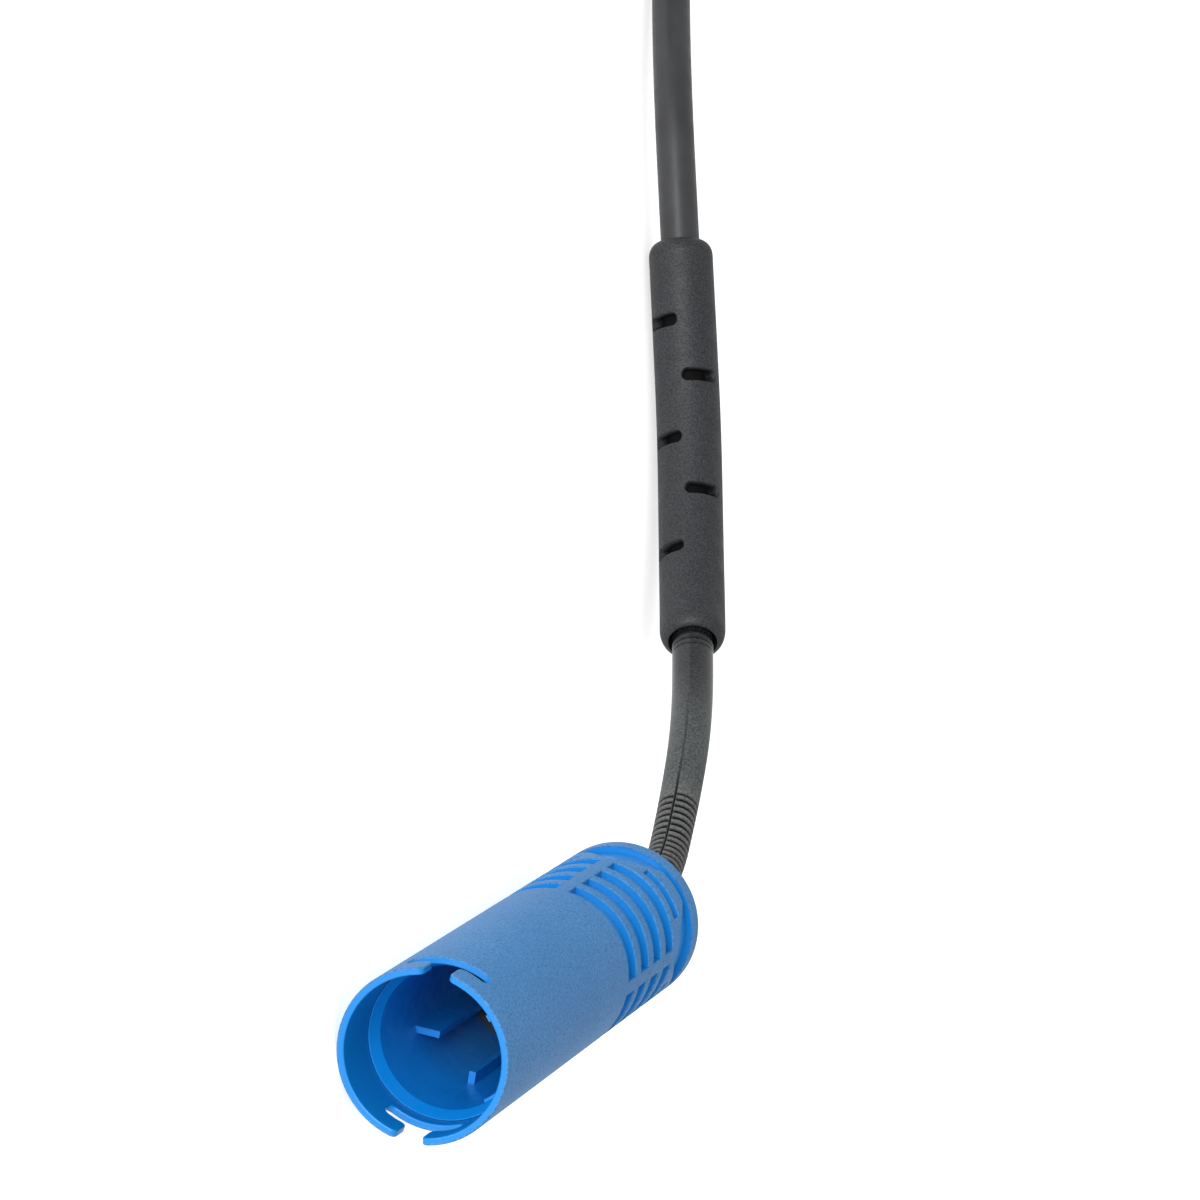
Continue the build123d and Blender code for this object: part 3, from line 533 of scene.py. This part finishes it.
def blue_outer_material(axis_height, radius):
    """Moulded blue plastic: fine grain outside, smooth and deeper blue in the grooves and the bore."""
    paint = Paint("blue_outer", (0.026, 0.15, 0.34), 0.55, specular=0.42)
    deep = (0.001, 0.165, 0.49)
    skin_share = paint.spread(axis_radius(paint, axis_height), radius - 0.35 * MM, radius - 0.08 * MM)
    cloud = paint.spread(paint.noise(60, 3), 0.35, 0.65)
    grain = paint.spread(paint.noise(3400, 2), 0.36, 0.58)
    outer = paint.blend(cloud, (0.027, 0.168, 0.400), (0.036, 0.190, 0.432))
    outer = paint.blend(grain, (0.013, 0.112, 0.300), outer)
    paint.set("Base Color", paint.blend(skin_share, deep, outer))
    paint.set("Roughness", paint.spread(skin_share, 0, 1, 0.34, 0.62))
    fine = paint.math("MULTIPLY", paint.noise(3400, 3), skin_share)
    paint.set("Normal", paint.bump(fine, 0.07 * MM, 0.7, paint.bump(paint.noise(300, 2), 0.02 * MM, 0.3)))
    return paint.material


def blue_inner_material():
    """Smooth satin blue plastic of the inner body."""
    paint = Paint("blue_inner", (0.002, 0.17, 0.54), 0.35)
    flow = paint.spread(paint.noise(140, 3), 0.3, 0.7)
    paint.set("Base Color", paint.blend(flow, (0.002, 0.19, 0.57), (0.003, 0.21, 0.61)))
    paint.set("Roughness", paint.spread(paint.noise(500, 2), 0.3, 0.7, 0.28, 0.42))
    paint.set("Normal", paint.bump(paint.noise(700, 3), 0.02 * MM, 0.35))
    return paint.material


def attribute(paint, name):
    """Value of a point attribute."""
    return paint.add("ShaderNodeAttribute", attribute_name=name).outputs["Fac"]


def boot_material():
    """Grey rubber, greyer at the ribs and darker towards the sleeve, with painted shade in the groove
    floors, the seam and the end rings.
    """
    paint = Paint("boot_rubber", (0.07, 0.07, 0.07), 0.5, specular=0.3)
    cloud = paint.spread(paint.noise(3400, 3), 0.34, 0.66)
    ribbed = paint.blend(cloud, (0.056, 0.058, 0.056), (0.112, 0.114, 0.109))
    plain = paint.blend(cloud, (0.018, 0.022, 0.023), (0.064, 0.070, 0.072))
    dark = paint.blend(cloud, (0.003, 0.004, 0.005), (0.016, 0.018, 0.019))
    station = attribute(paint, "station")
    body = paint.blend(paint.spread(station, 28 * MM, 37 * MM), ribbed, plain)
    body = paint.blend(paint.spread(station, 42 * MM, 59 * MM), body, dark)
    # Painted shade: the recess weight turns the colour near black and takes away the specular.
    paint.set("Base Color", paint.blend(attribute(paint, "recess_shade"), body, (0.004, 0.004, 0.005)))
    paint.set("Roughness", paint.spread(station, 36 * MM, 60 * MM, 0.62, 0.22))
    paint.set("Specular IOR Level", paint.spread(attribute(paint, "recess_shade"), 0, 1, 0.4, 0))
    paint.set("Normal", paint.bump(paint.noise(2600, 3), 0.04 * MM, 0.7))
    return paint.material


def sleeve_material():
    """Matt black plastic with a fine grain; the slots and the mouths have painted shade, black and nearly
    without specular.
    """
    paint = Paint("sleeve_plastic", (0.02, 0.02, 0.02), 0.6, specular=0.3)
    cloud = paint.spread(paint.noise(4200, 3), 0.34, 0.66)
    body = paint.blend(cloud, (0.006, 0.007, 0.008), (0.025, 0.027, 0.031))
    # Painted shade: the recess weight turns the colour black and lowers the specular.
    paint.set("Base Color", paint.blend(attribute(paint, "recess_shade"), body, (0.004, 0.004, 0.004)))
    paint.set("Roughness", paint.spread(paint.noise(500, 3), 0.3, 0.7, 0.48, 0.60))
    paint.set("Specular IOR Level", paint.spread(attribute(paint, "recess_shade"), 0, 1, 0.35, 0.05))
    paint.set("Normal", paint.bump(paint.noise(3200, 3), 0.06 * MM, 0.9))
    return paint.material


def rubber_material(name, dark, light, rough, grain_scale, grain_depth):
    """Soft dark plastic or rubber with a grain and faint cloudy wear."""
    paint = Paint(name, light, rough)
    wear = paint.spread(paint.noise(90, 4), 0.35, 0.7)
    paint.set("Base Color", paint.blend(wear, dark, light))
    paint.set("Roughness", paint.spread(paint.noise(400, 3), 0.3, 0.7, rough - 0.06, rough + 0.06))
    paint.set("Normal", paint.bump(paint.noise(grain_scale, 3), grain_depth, 0.5))
    return paint.material


def metal_material(name, colour, rough):
    """Turned or drawn metal with fine streaks."""
    paint = Paint(name, colour, rough, metallic=1.0)
    stretch = paint.add("ShaderNodeMapping")
    stretch.inputs["Scale"].default_value = STREAKS
    paint.join(paint.coordinates.outputs["Object"], stretch.inputs["Vector"])
    lines = paint.add("ShaderNodeTexNoise")
    lines.inputs["Scale"].default_value = 1.0
    paint.join(stretch.outputs["Vector"], lines.inputs["Vector"])
    paint.set("Roughness", paint.spread(lines.outputs["Fac"], 0.3, 0.7, rough - 0.08, rough + 0.1))
    paint.set("Normal", paint.bump(lines.outputs["Fac"], 0.01 * MM, 0.5))
    return paint.material


def make_materials():
    """Every material by the record's slot name."""
    low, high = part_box("coupling_sleeve")
    return {
        "blue_outer": blue_outer_material((low.z + high.z) / 2, (high.x - low.x) / 2),
        "blue_inner": blue_inner_material(),
        "spring_steel": metal_material("spring_steel", (0.56, 0.57, 0.58), 0.28),
        "seal_rubber": rubber_material(
            "seal_rubber", (0.010, 0.012, 0.014), (0.018, 0.02, 0.022), 0.55, 900, 0.03 * MM
        ),
        "carrier_plastic": rubber_material(
            "carrier_plastic", (0.012, 0.012, 0.014), (0.02, 0.02, 0.023), 0.45, 1500, 0.02 * MM
        ),
        "contact_metal": metal_material("contact_metal", (0.80, 0.77, 0.68), 0.22),
        "lock_plastic": rubber_material(
            "lock_plastic", (0.62, 0.62, 0.57), (0.70, 0.69, 0.63), 0.45, 1500, 0.02 * MM
        ),
        "core_insulation": rubber_material(
            "core_insulation", (0.16, 0.045, 0.02), (0.20, 0.06, 0.025), 0.35, 1200, 0.01 * MM
        ),
        "brass": metal_material("brass", (0.72, 0.53, 0.25), 0.30),
        "boot_rubber": boot_material(),
        "jacket": rubber_material(
            "jacket", (0.012, 0.0125, 0.014), (0.020, 0.021, 0.023), 0.42, 1200, 0.02 * MM
        ),
        "sleeve_plastic": sleeve_material(),
        "sensor_plastic": rubber_material(
            "sensor_plastic", (0.014, 0.014, 0.016), (0.026, 0.026, 0.028), 0.48, 1800, 0.04 * MM
        ),
        "magnet": metal_material("magnet", (0.16, 0.16, 0.17), 0.45),
    }


def dress(frame, materials, pieces):
    """Give every shown CAD node and every new piece its material."""
    slots = {part["node"]: part["material_slot"] for part in frame["record"]["subparts"]}
    for node, thing in frame["nodes"].items():
        thing.data.materials.clear()
        thing.data.materials.append(materials[slots[node]])
    for piece in pieces:
        piece.data.materials.append(materials[piece["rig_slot"]])


# ---------------------------------------------------------------- stage

FLOOR_HALF_WIDTH = 6.0
FLOOR_GLOW = 0.55
WORLD_STRENGTH = 0.85
KEY_PLACE = (-0.45, -1.25, 0.16)
KEY_TARGET = (-0.03, 0.03, 0.01)
KEY_SIZE = 0.7
KEY_POWER = 24


def make_floor():
    """Pale floor, large enough to fill the frame, with a light table's faint glow."""
    half = FLOOR_HALF_WIDTH
    corners = [(-half, -half, 0), (half, -half, 0), (half, half, 0), (-half, half, 0)]
    mesh = bpy.data.meshes.new("floor")
    mesh.from_pydata(corners, [], [(0, 1, 2, 3)])
    floor = bpy.data.objects.new("floor", mesh)
    bpy.context.scene.collection.objects.link(floor)
    paint = Paint("floor_white", (0.82, 0.82, 0.82), 0.9, specular=0.0)
    paint.shader.inputs["Emission Color"].default_value = (1, 1, 1, 1)
    paint.shader.inputs["Emission Strength"].default_value = FLOOR_GLOW
    mesh.materials.append(paint.material)


def make_light(name, place, target, size, power):
    """Square area light that looks at a target."""
    lamp = bpy.data.lights.new(name, "AREA")
    lamp.size = size
    lamp.energy = power
    thing = bpy.data.objects.new(name, lamp)
    thing.location = place
    thing.rotation_euler = (Vector(target) - Vector(place)).to_track_quat("-Z", "Y").to_euler()
    bpy.context.scene.collection.objects.link(thing)


def make_world(strength):
    """Even white surroundings."""
    world = bpy.data.worlds.new("surroundings")
    world.use_nodes = True
    back = world.node_tree.nodes["Background"]
    back.inputs["Color"].default_value = (1, 1, 1, 1)
    back.inputs["Strength"].default_value = strength
    bpy.context.scene.world = world


def make_camera():
    """Camera at the photograph's angle, rolled as the photograph was."""
    data = bpy.data.cameras.new("camera")
    data.lens = LENS
    data.clip_start, data.clip_end = CLIP_RANGE
    camera = bpy.data.objects.new("camera", data)
    turn = Matrix((CAMERA_RIGHT, CAMERA_UP, CAMERA_BACK)).transposed().to_4x4()
    camera.matrix_world = Matrix.Translation(CAMERA_PLACE) @ turn
    bpy.context.scene.collection.objects.link(camera)
    bpy.context.scene.camera = camera


def set_display():
    """Plain display of colours, as a product photograph has."""
    bpy.context.scene.view_settings.view_transform = "Standard"


def main():
    """Load the frame, build the looks and finish."""
    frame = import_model()
    make_camera()
    cable, start, length = make_cable()
    path = Path(curve_line(ROUTE))
    boot = make_strain_relief(path, path.distance_of(start))
    sleeve = make_cable_sleeve(path)
    dress(frame, make_materials(), [cable, boot, sleeve])
    riders = [node for node in frame["nodes"] if node.startswith("sensor_")]
    riders += ["mounting_bush", "inner_cable"]
    make_floor()
    make_world(WORLD_STRENGTH)
    make_light("key", KEY_PLACE, KEY_TARGET, KEY_SIZE, KEY_POWER)
    set_display()


main()
